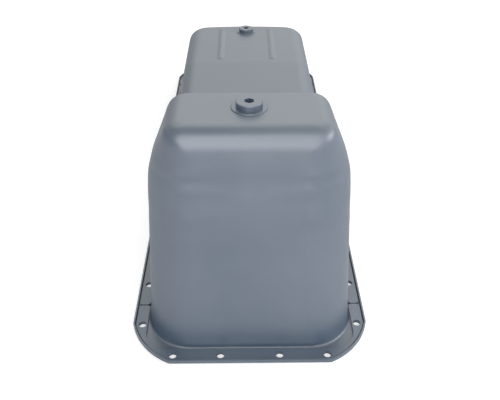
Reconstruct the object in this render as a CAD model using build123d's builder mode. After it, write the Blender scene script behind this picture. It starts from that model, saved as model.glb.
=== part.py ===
from build123d import *
import os
from math import cos, pi, radians, sin, sqrt, tan

# Double-sump oil pan of an in-line six, standing upside down on its gasket face.
# +Z is up from the gasket face, -Y is the deep end, +Y the shallow end, millimetres.

# ---- sheet and overall size
sheet = 2.0                    # pressed steel sheet
pan_length = 856.0
pan_width = 300.0
front = -pan_length / 2
rear = pan_length / 2

# ---- flange
corner_cut = 51.0              # the straight edge across each end starts this far in
corner_run = 61.4              # the corner starts this far along each side
corner_bulge = 9.0             # how far the bowed corner stands out of its chord
corner_round = 10.0            # softens both ends of the bowed corner
lip_height = 7.0               # upturned edge, from the gasket face
lip_bend = 3.0                 # outer bend radius of the upturned edge
foot_bend = 3.0                # bend between flange and wall, on the outside

# ---- flange bolts
bolt_hole = 9.8                # clearance for M8
side_bolts = 11
side_bolt_inset = 11.8         # the side rows, in from the flange edge
side_bolt_setback = 61.0       # first and last bolt of a side row, from the ends
end_bolt_inset = 10.4          # the end rows, in from the flange edge
end_bolts_near = 72.6          # spacing of the two middle end bolts
end_bolt_corner = 4.1          # the outer end bolts, outwards of the start of the corner

# ---- stiffening strips, welded inside the upturned edge
strip_thick = 3.0
strip_gap = 1.6                # between strip and upturned edge
side_strip_inset = 18.2        # inner edge of the side strips, in from the flange edge
end_strip_inset = 20.7         # the same of the end strips
strip_inner_corner = 27.0
strip_joint = 95.6             # the butt joint lies this far from each end
strip_joint_gap = 1.5
strip_end_round = 4.5

# ---- walls
side_inset = 21.4              # wall foot, in from the flange edge
end_inset = 24.0
side_draft = 3.6               # degrees
end_draft = 4.5
side_taper = 3.2               # at the neck each side also closes in by this towards the rear
front_corner = 55.0            # corner radius in plan, deep end
rear_corner = 42.0             # corner radius in plan, shallow end
press_bend = 26.0              # bend along the top edges and down the back of the deep sump

# ---- deep sump
deep_height = 295.0
deep_rear = 145.0              # sharp rear edge of its floor, from the front of the flange
rear_slope = 9.0               # lean of its back wall
knee_drop = 62.5               # the sides turn in this far below the floor
knee_bend = 140.0
flank_angle = 23.8             # lean of the sides above the knee
flank_bend = 18.0              # bend from the flanks into the floor
front_bend = 24.0              # bend from the front wall into the floor
rear_bend = 12.0               # bend from the back wall into the floor
neck_margin = 10.0             # the lofted crown starts this far above the saddle's bend
back_corner = 58.0             # corner radius in plan that the back grows to above the neck
back_corner_rise = 110.0       # height over which it does
floor_corner = 12.0            # corner radius in plan where all four reach the floor
corner_power = 4               # they shrink to it slowly at first, and fast near the floor
wall_steps = 4                 # sections of the loft up each straight stretch
bend_steps = 8                 # and round the bend into the floor

# ---- shallow sump
shallow_height = 120.0
crease = 238.0                 # the ramp meets the level floor here, from the rear of the flange
ramp_angle = 4.5
saddle_bend = 60.0
crease_bend = 150.0
end_bow = 11.0                 # the end wall bows out by this at the level floor

# ---- pressed beads on the shallow floor
bead_width = 17.0
bead_height = 2.0
bead_sink = 0.1                # its form starts this far under the floor, to meet it cleanly
bead_spacing = 100.0
bead_setback = 66.0            # from the rear of the flange
bead_length = 162.0
bead_steps = 6                 # sections of the loft up each bead

# ---- drains
front_drain = 103.7            # from the front of the flange
rear_drain = 81.0              # from the rear of the flange
boss_flange = 40.0
boss_flange_thick = 1.2
boss_barrel = 28.0
boss_depth = 14.0              # barrel below the outside of the floor
boss_clearance = 0.15
plug_thread = 22.0
thread_clearance = 0.1
plug_head = 29.2
plug_head_thick = 4.4
plug_length = 15.0             # threaded shank under the head
hex_across = 10.0
hex_depth = 8.0
washer_outer = 27.4
washer_thick = 2.0
small_chamfer = 0.8

side_bolt_pitch = (pan_length - 2 * side_bolt_setback) / (side_bolts - 1)
side_bolt_row = pan_width - 2 * side_bolt_inset
end_bolt_row = pan_length - 2 * end_bolt_inset
end_edge = pan_width - 2 * corner_cut
end_bolts_far = end_edge - 2 * end_bolt_corner
side_foot = pan_width / 2 - side_inset
knee_height = deep_height - knee_drop
crease_y = rear - crease
back_run = tan(radians(rear_slope))
ramp_rise = tan(radians(ramp_angle))
slope_foot = front + deep_rear + deep_height * back_run
saddle_z = (shallow_height + (slope_foot - crease_y) * ramp_rise) / (1 + back_run * ramp_rise)
saddle_tangent = saddle_bend * tan(radians(90 - rear_slope + ramp_angle) / 2)
neck = saddle_z + saddle_tangent * cos(radians(rear_slope)) + neck_margin
flank_foot = side_foot + knee_height * (tan(radians(flank_angle)) - tan(radians(side_draft)))
neck_run = pan_length - 2 * end_inset - 2 * neck * tan(radians(end_draft))
plan_taper = side_taper / (neck_run - end_bow * neck / shallow_height)
drains = (
    ("front", front + front_drain, deep_height),
    ("rear", rear - rear_drain, shallow_height),
)
os.makedirs("parts", exist_ok=True)


def rise_in(height, lean):
    """How far a wall that leans by this many degrees has moved in at this height."""
    return height * tan(radians(lean))


def skin(inset, lean):
    """Level distance between a leaning wall and the same wall, inset square to itself."""
    return inset / cos(radians(lean))


def crown(height, top, lean, bend):
    """How far a leaning wall, bent into a level top, stands out from its sharp top corner."""
    tangent = bend * tan(radians(90 - lean) / 2)
    if height <= top - tangent * cos(radians(lean)):
        return rise_in(top - height, lean)
    return sqrt(max(0.0, bend**2 - (height - top + bend) ** 2)) - tangent


def corner_radii(height):
    """Corner radii in plan above the neck, front and back."""
    widen = min(1.0, (height - neck) / back_corner_rise)
    back = press_bend + (back_corner - press_bend) * widen**2 * (3 - 2 * widen)
    share = ((height - neck) / (deep_height - neck)) ** corner_power
    return tuple(radius + (floor_corner - radius) * share for radius in (front_corner, back))


def knee_centre(inset):
    """Centre of the bend between side and flank: distance from the middle plane, and height."""
    bend = knee_bend - inset
    low = side_foot - skin(inset + bend, side_draft)
    high = flank_foot - skin(inset + bend, flank_angle)
    height = (high - low) / (tan(radians(flank_angle)) - tan(radians(side_draft)))
    return low - rise_in(height, side_draft), height


def crown_half(height, inset):
    """Half-width of the deep sump: side, bend at the knee, flank, and bend into the floor."""
    bend = knee_bend - inset
    centre, centre_height = knee_centre(inset)
    if height < centre_height + bend * sin(radians(side_draft)):
        return side_foot - rise_in(height, side_draft) - skin(inset, side_draft)
    if height < centre_height + bend * sin(radians(flank_angle)):
        return centre + sqrt(bend**2 - (height - centre_height) ** 2)
    top = deep_height - inset
    floor_half = flank_foot - rise_in(top, flank_angle) - skin(inset, flank_angle)
    return floor_half + crown(height, top, flank_angle, flank_bend - inset)


def crown_outline(height, inset):
    """Level section of the deep sump above its neck."""
    top = deep_height - inset
    front_edge = front + end_inset + rise_in(top, end_draft) + skin(inset, end_draft)
    front_edge -= crown(height, top, end_draft, front_bend - inset)
    rear_edge = front + deep_rear + rise_in(inset, rear_slope) - skin(inset, rear_slope)
    rear_edge += crown(height, top, rear_slope, rear_bend - inset)
    front_half = crown_half(height, inset)
    rear_half = front_half - plan_taper * (rear_edge - front_edge)
    front_radius, back_radius = corner_radii(height + inset)
    with BuildSketch(Plane.XY.offset(height)) as section:
        with BuildLine():
            Polyline(
                (-front_half, front_edge), (front_half, front_edge),
                (rear_half, rear_edge), (-rear_half, rear_edge), close=True,
            )
        make_face()
        fillet(section.vertices().group_by(Axis.Y)[0], front_radius - inset)
        fillet(section.vertices().group_by(Axis.Y)[-1], back_radius - inset)
    return section.sketch


def crown_heights(inset):
    """Heights of the loft's sections above the neck: straight, knee, straight, floor bend."""
    top = deep_height - inset
    knee_low, knee_high = (
        knee_centre(inset)[1] + (knee_bend - inset) * sin(radians(lean))
        for lean in (side_draft, flank_angle)
    )
    bend = max(front_bend, flank_bend, rear_bend) - inset
    bend_low = top - bend * (1 - sin(radians(end_draft)))
    shares = [step / wall_steps for step in range(1, wall_steps + 1)]
    heights = [neck + (knee_low - neck) * share**2 for share in shares]
    for start, end in ((knee_low, knee_high), (knee_high, bend_low)):
        heights += [start + (end - start) * share for share in shares]
    for step in range(1, bend_steps + 1):
        angle = end_draft + (90 - end_draft) * step / bend_steps
        heights.append(top - bend * (1 - sin(radians(angle))))
    return heights


def wall_outline(height, inset):
    """Level section of the plain walls, with the bowed end wall at the shallow end."""
    half = side_foot - rise_in(height, side_draft) - skin(inset, side_draft)
    front_edge = front + end_inset + rise_in(height, end_draft) + skin(inset, end_draft)
    rear_edge = rear - end_inset - rise_in(height, end_draft) - skin(inset, end_draft)
    rear_half = half - side_taper * height / neck
    bow = end_bow * height / shallow_height
    corners = ((-rear_half, rear_edge - bow), (rear_half, rear_edge - bow))
    with BuildSketch(Plane.XY.offset(height)) as section:
        with BuildLine():
            if bow > 0:
                ThreePointArc(corners[0], (0, rear_edge), corners[1])
            else:
                Line(corners[0], corners[1])
            Polyline(corners[1], (half, front_edge), (-half, front_edge), corners[0])
        make_face()
        fillet(section.vertices().group_by(Axis.Y)[0], front_corner - inset)
        fillet(section.vertices().group_by(Axis.Y)[-1], rear_corner - inset)
    return section.sketch


def side_profile(inset):
    """Back slope, saddle, ramp and level floor, as seen from the side, open over the neck."""
    saddle = (slope_foot - saddle_z * back_run, saddle_z)
    over = pan_width                       # past the walls, where it cuts nothing
    with BuildSketch(Plane.YZ) as profile:
        with BuildLine():
            Polyline(
                (front - over, -over), (front - over, neck + over),
                (slope_foot - (neck + over) * back_run, neck + over), saddle,
                (crease_y, shallow_height), (rear + over, shallow_height),
                (rear + over, -over), close=True,
            )
        make_face()
        fillet(profile.vertices().sort_by_distance(saddle)[0], saddle_bend)
        fillet(profile.vertices().sort_by_distance((crease_y, shallow_height))[0], crease_bend)
        if inset > 0:
            offset(amount=-inset)
    return profile.sketch


def sump_form(inset):
    """The whole hollow body as a solid form: the outside, or the inside one sheet further in."""
    with BuildPart() as lower:
        loft([wall_outline(0, inset), wall_outline(neck, inset)], ruled=True)
        extrude(side_profile(inset), amount=pan_width, both=True, mode=Mode.INTERSECT)
        tops = lower.faces().filter_by(
            lambda face: face.normal_at().Z > sin(radians(rear_slope - 1))
            and face.center().Y < rear - 2 * rear_corner and face.center().Z < neck - 1
        )
        rims = [
            edge for face in tops for edge in face.edges()
            if sum(edge.is_same(other) for near in tops for other in near.edges()) == 1
            and edge.center().Z < neck - 1
        ]
        fillet(rims, press_bend - inset)
    mouth = lower.faces().sort_by(Axis.Z)[-1]
    with BuildPart() as dome:
        loft([mouth] + [crown_outline(height, inset) for height in crown_heights(inset)])
    walls = [face for face in lower.faces() if not face.is_same(mouth)]
    walls += [face for face in dome.faces() if face.center().Z > neck + 1]
    return Solid(Shell(walls))


def flange_outline(inset=0.0):
    """Plan of the flange: straight sides and ends, joined by bowed corners."""
    side_x = pan_width / 2
    side_y = pan_length / 2 - corner_run
    with BuildSketch() as outline:
        with BuildLine() as edge:
            Line((side_x, 0), (side_x, side_y))
            SagittaArc((side_x, side_y), (end_edge / 2, rear), -corner_bulge)
            Line((end_edge / 2, rear), (0, rear))
            mirror(about=Plane.YZ)
            mirror(about=Plane.XZ)
        make_face()
        corners = outline.vertices().filter_by(lambda point: abs(point.X * point.Y) > 1)
        fillet(corners, corner_round)
        if inset > 0:
            offset(amount=-inset)
    return outline.sketch


def bolt_places():
    """Centres of all the flange bolts."""
    side_run = side_bolt_pitch * (side_bolts - 1)
    places = []
    for side in (-1, 1):
        for count in range(side_bolts):
            places.append((side * side_bolt_row / 2, side_bolt_pitch * count - side_run / 2))
        for spacing in (end_bolts_near, end_bolts_far):
            for end in (-1, 1):
                places.append((side * spacing / 2, end * end_bolt_row / 2))
    return places


def bead():
    """One pressed bead: a low ridge that flows out of the level floor."""
    base = Plane((0, rear - bead_setback - bead_length / 2, shallow_height - bead_sink))
    sections = []
    for step in range(bead_steps):
        share = step / bead_steps
        rise = (bead_height + bead_sink) * (1 - cos(pi * share)) / 2
        with BuildSketch(base.offset(rise)) as level:
            length = bead_length - bead_width * share
            SlotOverall(length, bead_width * (1 - share), rotation=90)
        sections.append(level.sketch)
    with BuildPart() as ridge:
        loft(sections)
    return ridge.part


def foot_edges(solid, form, height):
    """Edges of the solid that run round the foot of the form, at this height."""
    foot = form.faces().sort_by(Axis.Z)[0].outer_wire()
    return [
        edge for edge in solid.edges()
        if abs(edge.position_at(0).Z - height) + abs(edge.position_at(1).Z - height) < 0.01
        and foot.distance_to(edge.center()) < 2 * sheet
    ]


# ---- pan shell: one pressing, walls, floor, flange and upturned edge
outer_form = sump_form(0.0)
inner_form = sump_form(sheet)
ridge = bead()
with BuildPart() as hollow:
    extrude(flange_outline(lip_bend + sheet), amount=-lip_height)
    add(inner_form)
    fillet(foot_edges(hollow, inner_form, 0.0), foot_bend + sheet)
with BuildPart() as pan_shell:
    extrude(flange_outline(), amount=lip_height)
    fillet(pan_shell.edges().group_by(Axis.Z)[0], lip_bend)
    with BuildSketch(Plane.XY.offset(sheet)):
        add(flange_outline(sheet))
    extrude(amount=lip_height, mode=Mode.SUBTRACT)
    plate = pan_shell.faces().filter_by(Plane.XY).sort_by(Axis.Z)[-2]
    fillet(plate.outer_wire().edges(), lip_bend - sheet)
    add(outer_form)
    fillet(foot_edges(pan_shell, outer_form, sheet), foot_bend)
    add(hollow.part, mode=Mode.SUBTRACT)
    for side in (-1, 1):
        with Locations((side * bead_spacing / 2, 0, 0)):
            add(ridge)
        with Locations((side * bead_spacing / 2, 0, -sheet)):
            add(ridge, mode=Mode.SUBTRACT)
    with Locations(*bolt_places()):
        Hole(bolt_hole / 2)
    for name, place, floor in drains:
        with Locations((0, place, floor)):
            Hole(boss_barrel / 2 + boss_clearance, depth=2 * sheet)
pan_shell.part.label = "pan_shell"
export_step(pan_shell.part, "parts/pan_shell.step")


# ---- stiffening strips: flat bar on the flange, in four lengths with butt joints
def strip_band():
    """The ring that the four strips are cut from, with its bolt holes."""
    with BuildPart() as band:
        with BuildSketch(Plane.XY.offset(sheet)):
            add(flange_outline(sheet + strip_gap))
            RectangleRounded(
                pan_width - 2 * side_strip_inset, pan_length - 2 * end_strip_inset,
                strip_inner_corner, mode=Mode.SUBTRACT,
            )
        extrude(amount=strip_thick)
        with Locations(*bolt_places()):
            Hole(bolt_hole / 2)
    return band.part


band = strip_band()
joint_y = pan_length / 2 - strip_joint
for name, end in (("front_flange_strip", -1), ("rear_flange_strip", 1)):
    with BuildPart() as end_strip:
        add(band)
        cut_y = end * (joint_y + strip_joint_gap / 2)
        split(bisect_by=Plane((0, cut_y, 0), z_dir=(0, end, 0)))
        tips = end_strip.edges().filter_by(Axis.Z).group_by(Axis.Y)[0 if end > 0 else -1]
        fillet(tips, strip_end_round)
    end_strip.part.label = name
    export_step(end_strip.part, f"parts/{name}.step")

for name, side in (("left_flange_strip", -1), ("right_flange_strip", 1)):
    with BuildPart() as side_strip:
        add(band)
        split(bisect_by=Plane.YZ.offset(0), keep=Keep.TOP if side > 0 else Keep.BOTTOM)
        cut_y = joint_y - strip_joint_gap / 2
        split(bisect_by=Plane((0, cut_y, 0), z_dir=(0, -1, 0)))
        split(bisect_by=Plane((0, -cut_y, 0), z_dir=(0, 1, 0)))
        fillet(side_strip.edges().filter_by(Axis.Z).group_by(Axis.Y)[0], strip_end_round)
        fillet(side_strip.edges().filter_by(Axis.Z).group_by(Axis.Y)[-1], strip_end_round)
    side_strip.part.label = name
    export_step(side_strip.part, f"parts/{name}.step")


# ---- drain bosses: turned bushes brazed into the floors, flange outside
for name, place, floor in drains:
    seat = floor + boss_flange_thick
    with BuildPart() as boss:
        with BuildSketch(Plane.XY.offset(floor)):
            with Locations((0, place)):
                Circle(boss_flange / 2)
        extrude(amount=boss_flange_thick)
        chamfer(boss.edges().group_by(Axis.Z)[-1], boss_flange_thick / 2)
        with BuildSketch(Plane.XY.offset(floor)):
            with Locations((0, place)):
                Circle(boss_barrel / 2)
        extrude(amount=-boss_depth)
        chamfer(boss.edges().group_by(Axis.Z)[0], small_chamfer)
        with Locations((0, place, seat)):
            Hole(plug_thread / 2 + thread_clearance)
    boss.part.label = f"{name}_drain_boss"
    export_step(boss.part, f"parts/{name}_drain_boss.step")

    # sealing washer between boss and plug head
    with BuildPart() as washer:
        with BuildSketch(Plane.XY.offset(seat)):
            with Locations((0, place)):
                Circle(washer_outer / 2)
                Circle(plug_thread / 2 + thread_clearance, mode=Mode.SUBTRACT)
        extrude(amount=washer_thick)
    washer.part.label = f"{name}_plug_washer"
    export_step(washer.part, f"parts/{name}_plug_washer.step")

    # drain plug: round head with a hexagon socket, threaded shank
    head = seat + washer_thick
    with BuildPart() as plug:
        with BuildSketch(Plane.XY.offset(head)):
            with Locations((0, place)):
                Circle(plug_head / 2)
        extrude(amount=plug_head_thick)
        chamfer(plug.edges().group_by(Axis.Z)[-1], small_chamfer)
        with BuildSketch(Plane.XY.offset(head)):
            with Locations((0, place)):
                Circle(plug_thread / 2)
        extrude(amount=-plug_length)
        chamfer(plug.edges().group_by(Axis.Z)[0], small_chamfer)
        with BuildSketch(Plane.XY.offset(head + plug_head_thick)):
            with Locations((0, place)):
                RegularPolygon(hex_across / 2, 6, major_radius=False, rotation=30)
        extrude(amount=-hex_depth, mode=Mode.SUBTRACT)
    plug.part.label = f"{name}_drain_plug"
    export_step(plug.part, f"parts/{name}_drain_plug.step")
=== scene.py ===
from math import radians

import bpy
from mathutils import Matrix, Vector

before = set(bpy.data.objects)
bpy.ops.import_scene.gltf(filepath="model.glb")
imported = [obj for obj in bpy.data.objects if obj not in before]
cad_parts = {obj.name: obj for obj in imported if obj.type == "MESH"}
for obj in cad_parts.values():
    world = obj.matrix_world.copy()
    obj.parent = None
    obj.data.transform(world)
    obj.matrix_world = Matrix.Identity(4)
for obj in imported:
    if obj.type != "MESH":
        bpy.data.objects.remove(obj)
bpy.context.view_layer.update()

# ---- enamel on the pan
# The whole pan is dipped and baked after welding, so one satin blue-grey enamel lies over the
# sheet, the strips, the bosses and the plugs. It has a slight orange peel and long soft waves
# where the sheet was drawn, and it dries a little duller in some places than in others. Faces
# that look up are painted a lighter green-grey, a painted highlight standing in for light from
# above.
enamel_colour = (0.047, 0.073, 0.118, 1.0)
enamel_dull = (0.070, 0.100, 0.140, 1.0)
top_light_colour = (0.170, 0.205, 0.185, 1.0)
top_light_cover = 0.20              # share of a level face painted lighter, a painted highlight from above
enamel_roughness = (0.38, 0.46)
enamel_ior = 2.2
peel_scale = 520.0             # lumps of orange peel a metre
peel_detail = 2.0
peel_height = 0.00002
wave_scale = 9.0               # long waves in the drawn sheet
wave_detail = 1.0
wave_height = 0.0004
cloud_scale = 7.0              # dull clouds in the enamel
cloud_detail = 6.0
cloud_roughness = 0.6
cloud_range = (0.35, 0.70)     # noise levels where the enamel starts and ends going dull
level_range = (0.5, 0.95)      # how level a face is, where the painted top light starts and where it is full


def enamel(name, waves=1.0, top_lit=1.0):
    """Baked enamel; waves is how strongly the sheet is waved, the last argument how strongly
    faces that look up are painted lighter, a painted highlight.
    """
    material = bpy.data.materials.new(name)
    material.use_nodes = True
    nodes = material.node_tree.nodes
    links = material.node_tree.links
    paint = nodes["Principled BSDF"]
    paint.inputs["IOR"].default_value = enamel_ior

    place = nodes.new("ShaderNodeTexCoord")
    cloud = nodes.new("ShaderNodeTexNoise")
    cloud.inputs["Scale"].default_value = cloud_scale
    cloud.inputs["Detail"].default_value = cloud_detail
    cloud.inputs["Roughness"].default_value = cloud_roughness
    links.new(place.outputs["Object"], cloud.inputs["Vector"])

    tint = nodes.new("ShaderNodeMix")
    tint.data_type = "RGBA"
    tint.inputs["A"].default_value = enamel_colour
    tint.inputs["B"].default_value = enamel_dull
    haze = nodes.new("ShaderNodeMapRange")
    haze.inputs["From Min"].default_value = cloud_range[0]
    haze.inputs["From Max"].default_value = cloud_range[1]
    links.new(cloud.outputs["Fac"], haze.inputs["Value"])
    links.new(haze.outputs["Result"], tint.inputs["Factor"])

    # Painted highlight: faces that look up are mixed toward a lighter green-grey, the more the
    # more level they are.
    facing = nodes.new("ShaderNodeNewGeometry")
    split = nodes.new("ShaderNodeSeparateXYZ")
    links.new(facing.outputs["Normal"], split.inputs["Vector"])
    top_light_mask = nodes.new("ShaderNodeMapRange")
    top_light_mask.inputs["From Min"].default_value = level_range[0]
    top_light_mask.inputs["From Max"].default_value = level_range[1]
    top_light_mask.inputs["To Max"].default_value = top_light_cover * top_lit
    links.new(split.outputs["Z"], top_light_mask.inputs["Value"])
    top_light_mix = nodes.new("ShaderNodeMix")
    top_light_mix.data_type = "RGBA"
    top_light_mix.inputs["B"].default_value = top_light_colour
    links.new(top_light_mask.outputs["Result"], top_light_mix.inputs["Factor"])
    links.new(tint.outputs["Result"], top_light_mix.inputs["A"])
    links.new(top_light_mix.outputs["Result"], paint.inputs["Base Color"])

    gloss = nodes.new("ShaderNodeMapRange")
    gloss.inputs["To Min"].default_value = enamel_roughness[0]
    gloss.inputs["To Max"].default_value = enamel_roughness[1]
    links.new(haze.outputs["Result"], gloss.inputs["Value"])
    links.new(gloss.outputs["Result"], paint.inputs["Roughness"])

    wave = nodes.new("ShaderNodeTexNoise")
    wave.inputs["Scale"].default_value = wave_scale
    wave.inputs["Detail"].default_value = wave_detail
    links.new(place.outputs["Object"], wave.inputs["Vector"])
    sag = nodes.new("ShaderNodeBump")
    sag.inputs["Strength"].default_value = waves
    sag.inputs["Distance"].default_value = wave_height
    links.new(wave.outputs["Fac"], sag.inputs["Height"])

    peel = nodes.new("ShaderNodeTexNoise")
    peel.inputs["Scale"].default_value = peel_scale
    peel.inputs["Detail"].default_value = peel_detail
    links.new(place.outputs["Object"], peel.inputs["Vector"])
    skin = nodes.new("ShaderNodeBump")
    skin.inputs["Strength"].default_value = 1.0
    skin.inputs["Distance"].default_value = peel_height
    links.new(peel.outputs["Fac"], skin.inputs["Height"])
    links.new(sag.outputs["Normal"], skin.inputs["Normal"])
    links.new(skin.outputs["Normal"], paint.inputs["Normal"])
    return material


def dress(node, material):
    """Give a node of the frame its finish."""
    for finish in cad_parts[node].material_slots:
        finish.material = material


# ---- pan shell
# One deep-drawn pressing in 2 mm sheet: both sumps, the ramp between them, the two beads on the
# shallow floor, the flange and its upturned edge.
dress("pan_shell", enamel("pan_enamel"))

# ---- stiffening strips
# Flat bar, 3 mm thick, punched for the flange bolts and spot-welded inside the upturned edge in
# four lengths with butt joints, so that the bolts don't dish the sheet.
strip_enamel = enamel("strip_enamel", waves=0.4, top_lit=0.2)
for side in ("front", "rear", "left", "right"):
    dress(f"{side}_flange_strip", strip_enamel)

# ---- drain bosses, washers and plugs
# Turned bushes brazed into the sump floors, each closed by a round-headed plug with a hexagon
# socket, over a soft sealing ring.
boss_enamel = enamel("boss_enamel", waves=0.0, top_lit=0.8)
for end in ("front", "rear"):
    for part in ("drain_boss", "plug_washer", "drain_plug"):
        dress(f"{end}_{part}", boss_enamel)

# ---- table
# A plain white table with a white wall behind it. It shows white, and keeps the pan's shadow.
table_size = 12.0
table_white = 0.76
table_glow = 0.44


def white_cloth(name):
    """Matt white that shows pure white to the eye, and still takes shadow."""
    material = bpy.data.materials.new(name)
    material.use_nodes = True
    nodes = material.node_tree.nodes
    links = material.node_tree.links
    nodes.remove(nodes["Principled BSDF"])
    cloth = nodes.new("ShaderNodeBsdfDiffuse")
    cloth.inputs["Color"].default_value = (table_white, table_white, table_white, 1.0)
    seen = nodes.new("ShaderNodeLightPath")
    shine = nodes.new("ShaderNodeMath")
    shine.operation = "MULTIPLY"
    shine.inputs[1].default_value = table_glow
    links.new(seen.outputs["Is Camera Ray"], shine.inputs[0])
    light = nodes.new("ShaderNodeEmission")
    links.new(shine.outputs["Value"], light.inputs["Strength"])
    both = nodes.new("ShaderNodeAddShader")
    links.new(cloth.outputs["BSDF"], both.inputs[0])
    links.new(light.outputs["Emission"], both.inputs[1])
    links.new(both.outputs["Shader"], nodes["Material Output"].inputs["Surface"])
    return material


mesh = bpy.data.meshes.new("table")
half = table_size / 2
corners = [(-half, -half, 0), (half, -half, 0), (half, half, 0), (-half, half, 0)]
mesh.from_pydata(corners, [], [(0, 1, 2, 3)])
table = bpy.data.objects.new("table", mesh)
bpy.context.collection.objects.link(table)
mesh.materials.append(white_cloth("table_cloth"))

# ---- room light
# A white room, brightest a little above the table, darker at the ceiling and toward the left,
# with soft lamps in front of the pan, at its right, and beyond its shallow end.
room_levels = ((0.0, 0.90), (0.45, 1.10), (0.75, 0.55), (1.0, 0.48))
room_top_level = 2.0           # upper end of the level curve
room_left, room_right = 0.45, 1.12
room_turn = (-0.9, 0.3)        # from left to right, where the change starts and ends
world = bpy.data.worlds.new("room")
bpy.context.scene.world = world
world.use_nodes = True
nodes = world.node_tree.nodes
links = world.node_tree.links
place = nodes.new("ShaderNodeTexCoord")
split = nodes.new("ShaderNodeSeparateXYZ")
links.new(place.outputs["Generated"], split.inputs["Vector"])
height = nodes.new("ShaderNodeFloatCurve")
curve = height.mapping.curves[0]
height.mapping.clip_max_y = room_top_level
for point, room_level in zip(curve.points, (room_levels[0], room_levels[-1])):
    point.location = room_level
for room_level in room_levels[1:-1]:
    curve.points.new(*room_level)
height.mapping.update()
links.new(split.outputs["Z"], height.inputs["Value"])
across = nodes.new("ShaderNodeMapRange")
across.inputs["From Min"].default_value = room_turn[0]
across.inputs["From Max"].default_value = room_turn[1]
across.inputs["To Min"].default_value = room_left
across.inputs["To Max"].default_value = room_right
links.new(split.outputs["X"], across.inputs["Value"])
level = nodes.new("ShaderNodeMath")
level.operation = "MULTIPLY"
links.new(height.outputs["Value"], level.inputs[0])
links.new(across.outputs["Result"], level.inputs[1])
seen = nodes.new("ShaderNodeLightPath")
strength = nodes.new("ShaderNodeMix")
strength.inputs["B"].default_value = 1.0
links.new(seen.outputs["Is Camera Ray"], strength.inputs["Factor"])
links.new(level.outputs["Value"], strength.inputs["A"])
links.new(strength.outputs["Result"], nodes["Background"].inputs["Strength"])
nodes["Background"].inputs["Color"].default_value = (1.0, 1.0, 1.0, 1.0)


def lamp(name, place, target, size, power):
    """A large soft lamp that looks at a point."""
    light = bpy.data.lights.new(name, "AREA")
    light.shape = "RECTANGLE"
    light.size, light.size_y = size
    light.energy = power
    lamp_object = bpy.data.objects.new(name, light)
    lamp_object.location = place
    aim = Vector(target) - Vector(place)
    lamp_object.rotation_euler = aim.to_track_quat("-Z", "Y").to_euler()
    bpy.context.collection.objects.link(lamp_object)


lamp("front_high", (0, -1.8, 2.4), (0, -0.3, 0.1), (2.0, 1.2), 16.0)
lamp("front_low", (0, -2.8, 0.95), (0, -0.5, 0.1), (2.6, 2.0), 25.0)
lamp("front_left", (-0.8, -2.0, 1.5), (0, -0.35, 0.25), (1.1, 0.7), 3.5)
lamp("right", (2.6, -0.6, 1.1), (0, -0.3, 0.15), (1.8, 1.2), 21.0)
lamp("back_high", (0, 1.6, 2.6), (0, 0, 0.1), (2.4, 1.2), 9.0)
lamp("far_wall", (0.4, 3.2, 2.0), (0, 0, 0.1), (3.2, 1.6), 8.0)

# ---- camera
# Held above the deep end and looking down along the pan.
eye = (-0.0058, -0.9179, 0.6074)
pitch_down = 36.29
turn_right = 0.64
lens = 44.64
camera_data = bpy.data.cameras.new("camera")
camera_data.lens = lens
camera_data.sensor_width = 36.0
camera = bpy.data.objects.new("camera", camera_data)
camera.location = eye
camera.rotation_euler = (radians(90 - pitch_down), 0.0, radians(-turn_right))
bpy.context.collection.objects.link(camera)
bpy.context.scene.camera = camera
bpy.context.scene.view_settings.view_transform = "Standard"
